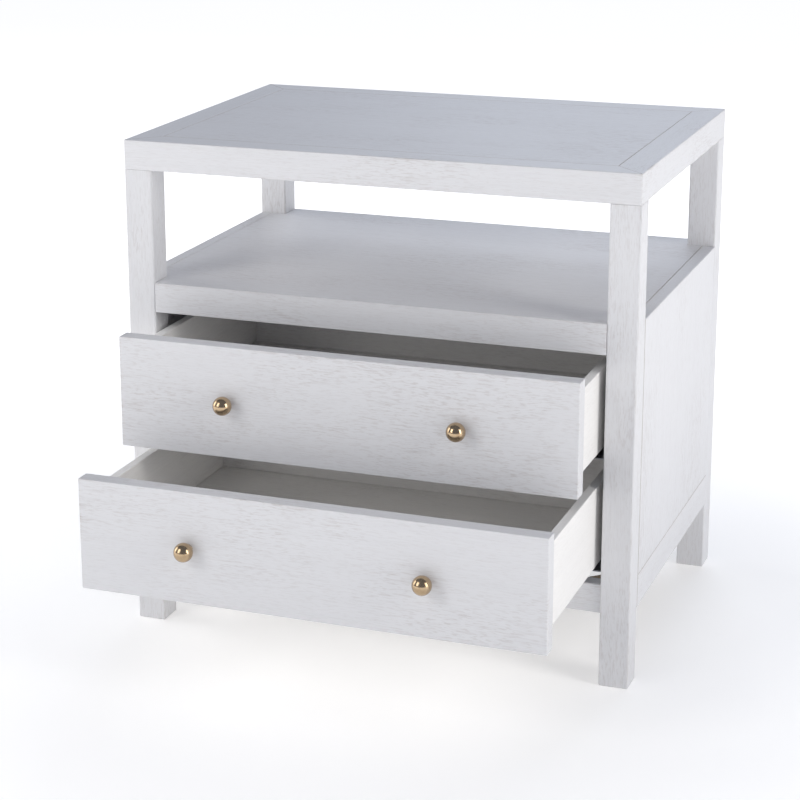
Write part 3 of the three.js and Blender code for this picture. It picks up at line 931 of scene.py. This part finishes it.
class MakeScrews(bpy.types.Operator):
    """Make the knob screws, with domed heads and cross recesses"""

    bl_idname = "nightstand.make_screws"
    bl_label = "Make knob screws"

    turns = 32
    tip_chamfer = 0.6 * MM
    # Sizes of the shank and of the cross recess, as shares of the head's radius.
    shank_share = 4.0 / 9.0
    arm_share = 0.58
    arm_half_width_share = 0.17
    recess_share = 0.3
    recess_taper = 0.8

    def outline(self, head, tip, seat, top):
        """Radius and place along the screw: a chamfered tip, the shank and a domed head."""
        shank = self.shank_share * head
        thick = top - seat
        return [
            (0.0, tip), (shank * 0.7, tip), (shank, tip + self.tip_chamfer), (shank, seat),
            (head, seat), (head, seat + thick * 0.42), (head * 0.93, seat + thick * 0.68),
            (head * 0.80, seat + thick * 0.88), (head * 0.62, top), (0.0, top),
        ]

    def recess(self, bm, centre, top, head):
        """Sinks a tapering cross into the flat of the head."""
        arm = self.arm_share * head
        wide = self.arm_half_width_share * head

        def flat():
            return [face for face in bm.faces if face.calc_center_median().y > top - WELD]

        for way in (RIGHT, UP):
            for reach in (-arm, -wide, wide, arm):
                score(bm, flat(), centre + Vector(way) * reach, way)
        cross = []
        for face in flat():
            middle = face.calc_center_median()
            x, z = abs(middle.x - centre.x), abs(middle.z - centre.z)
            if max(x, z) < arm and min(x, z) < wide:
                cross.append(face)
        moved = sink(bm, cross, self.recess_share * head)
        bmesh.ops.scale(
            bm, verts=moved, vec=(self.recess_taper, 1.0, self.recess_taper),
            space=Matrix.Translation(-centre),
        )

    def execute(self, context):
        material = plated_material("Screw steel", finish().steel, (500.0, 500.0, 500.0), 0.28)
        for level in LEVELS:
            for side in SIDES:
                node = f"{level}_knob_screw_{side}"
                low, high = (Vector(corner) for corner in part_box(node))
                head = (high.x - low.x) / 2
                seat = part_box(f"{level}_drawer_front")[1][1]
                centre = (low + high) / 2
                bm = turned(centre, self.outline(head, low.y, seat, high.y), self.turns)
                self.recess(bm, centre, high.y, head)
                make_piece(f"{node}_steel", bm, [material], [node])
        return {"FINISHED"}


class MakeSlides(bpy.types.Operator):
    """Finish the three members of each slide in zinc-plated steel"""

    bl_idname = "nightstand.make_slides"
    bl_label = "Make slides"

    def execute(self, context):
        material = plated_material("Zinc plate", finish().zinc, (700.0, 9.0, 700.0), 0.30)
        for node in NODES:
            if SLOT_OF[node] == "zinc_steel":
                bm = node_copy(node)
                ease(bm, sharp_edges(bm), boards().slide, 2)
                make_piece(f"{node}_steel", bm, [material], [node])
        return {"FINISHED"}


def direction(azimuth, elevation):
    """The way from the nightstand to a place at this azimuth and elevation.

    Azimuth 0 is in front of the nightstand and a quarter turn is at its right.
    """
    level = math.cos(elevation)
    return Vector((math.sin(azimuth) * level, -math.cos(azimuth) * level, math.sin(elevation)))


class MakeStudio(bpy.types.Operator):
    """Set out the pale floor, the soft lights and the camera"""

    bl_idname = "nightstand.make_studio"
    bl_label = "Make studio"

    floor_reach = 40.0
    film_width = 36.0
    heart = Vector((0.0, 0.0, 0.35))
    # Azimuth and elevation in degrees, distance, width and height in metres, watts and colour.
    softboxes = {
        "key": (-32, 26, 3.6, 1.3, 2.4, 39.0, (1.0, 0.98, 0.945)),
        "right": (74, 18, 3.8, 1.3, 2.6, 63.0, (1.0, 0.975, 0.94)),
        "left": (-90, 16, 4.0, 2.4, 2.4, 64.0, (1.0, 0.975, 0.93)),
        "rear": (180, 33, 4.5, 3.0, 2.0, 55.0, (0.84, 0.90, 1.0)),
    }

    def floor(self, studio):
        """A wide pale floor whose own glow grows with the distance from the nightstand."""
        bm = bmesh.new()
        bmesh.ops.create_grid(bm, x_segments=8, y_segments=8, size=self.floor_reach)
        mesh = bpy.data.meshes.new("studio_floor")
        bm.to_mesh(mesh)
        bm.free()
        floor = bpy.data.objects.new("studio_floor", mesh)
        bpy.context.scene.collection.objects.link(floor)
        material, graph = new_material("Studio floor")
        shader = graph.add("ShaderNodeBsdfPrincipled")
        place = graph.add("ShaderNodeTexCoord").outputs["Object"]
        reach = graph.add("ShaderNodeVectorMath", operation="LENGTH")
        graph.put(reach.inputs[0], place)
        glow = graph.ramp(
            reach.outputs["Value"], studio.glow_start, studio.glow_end,
            studio.near_glow, studio.far_glow,
        )
        graph.feed(
            shader, Base_Color=shade_of(studio.floor_colour), Roughness=0.9,
            Specular_IOR_Level=0.1, Emission_Color=shade_of(studio.glow_colour),
            Emission_Strength=glow,
        )
        out = graph.add("ShaderNodeOutputMaterial")
        graph.put(out.inputs["Surface"], shader.outputs["BSDF"])
        mesh.materials.append(material)

    def softbox(self, name, azimuth, elevation, distance, width, height, power, colour):
        """A rectangular light that faces the heart of the nightstand."""
        way = direction(math.radians(azimuth), math.radians(elevation))
        data = bpy.data.lights.new(name, "AREA")
        data.shape = "RECTANGLE"
        data.size, data.size_y = width, height
        data.energy = power
        data.color = colour
        lamp = bpy.data.objects.new(name, data)
        lamp.location = self.heart + way * distance
        lamp.rotation_mode = "QUATERNION"
        lamp.rotation_quaternion = (-way).to_track_quat("-Z", "Y")
        bpy.context.scene.collection.objects.link(lamp)

    def camera(self, studio):
        """A long lens on the aim, with its tilt and shift."""
        data = bpy.data.cameras.new("studio_camera")
        data.sensor_width = self.film_width
        data.lens = studio.lens
        data.shift_x, data.shift_y = studio.shift
        data.clip_end = 5 * self.floor_reach
        camera = bpy.data.objects.new("studio_camera", data)
        back = direction(studio.azimuth, studio.elevation)
        camera.location = Vector(studio.aim) + back * studio.distance
        camera.rotation_mode = "QUATERNION"
        tilt = Quaternion((0, 0, 1), studio.roll)
        camera.rotation_quaternion = (-back).to_track_quat("-Z", "Y") @ tilt
        bpy.context.scene.collection.objects.link(camera)
        bpy.context.scene.camera = camera

    def execute(self, context):
        studio = context.scene.nightstand_studio
        self.floor(studio)
        for name, (*place, width, height, power, colour) in self.softboxes.items():
            self.softbox(name, *place, width, height, power * studio.light_level, colour)
        world = bpy.data.worlds.new("Studio")
        world.use_nodes = True
        graph = Graph(world.node_tree)
        sky = graph.add("ShaderNodeBackground")
        graph.feed(sky, Color=shade_of(studio.sky), Strength=1.0)
        out = graph.add("ShaderNodeOutputWorld")
        graph.put(out.inputs["Surface"], sky.outputs["Background"])
        context.scene.world = world
        context.scene.view_settings.view_transform = "Standard"
        context.scene.view_settings.gamma = studio.gamma
        self.camera(studio)
        return {"FINISHED"}


OPERATORS = (
    MakeStudio, MakeLegs, MakeTop, MakeShelf, MakeWalls, MakeBlocks, MakeDrawers, MakeKnobs,
    MakeScrews, MakeSlides,
)


class NightstandPanel(bpy.types.Panel):
    """Lists the steps that build the nightstand"""

    bl_idname = "VIEW3D_PT_nightstand"
    bl_label = "Nightstand"
    bl_space_type = "VIEW_3D"
    bl_region_type = "UI"
    bl_category = "Nightstand"

    def draw(self, context):
        for maker in OPERATORS:
            self.layout.operator(maker.bl_idname)


GROUPS = (
    (NightstandBoardSettings, "nightstand_boards"),
    (NightstandFinishSettings, "nightstand_finish"),
    (NightstandStudioSettings, "nightstand_studio"),
)


def register():
    for group, attribute in GROUPS:
        bpy.utils.register_class(group)
        setattr(bpy.types.Scene, attribute, PointerProperty(type=group))
    for maker in OPERATORS:
        bpy.utils.register_class(maker)
    bpy.utils.register_class(NightstandPanel)


def unregister():
    bpy.utils.unregister_class(NightstandPanel)
    for maker in reversed(OPERATORS):
        bpy.utils.unregister_class(maker)
    for group, attribute in reversed(GROUPS):
        delattr(bpy.types.Scene, attribute)
        bpy.utils.unregister_class(group)


def main():
    register()
    for maker in OPERATORS:
        area, name = maker.bl_idname.split(".")
        getattr(getattr(bpy.ops, area), name)()


if __name__ == "__main__":
    main()
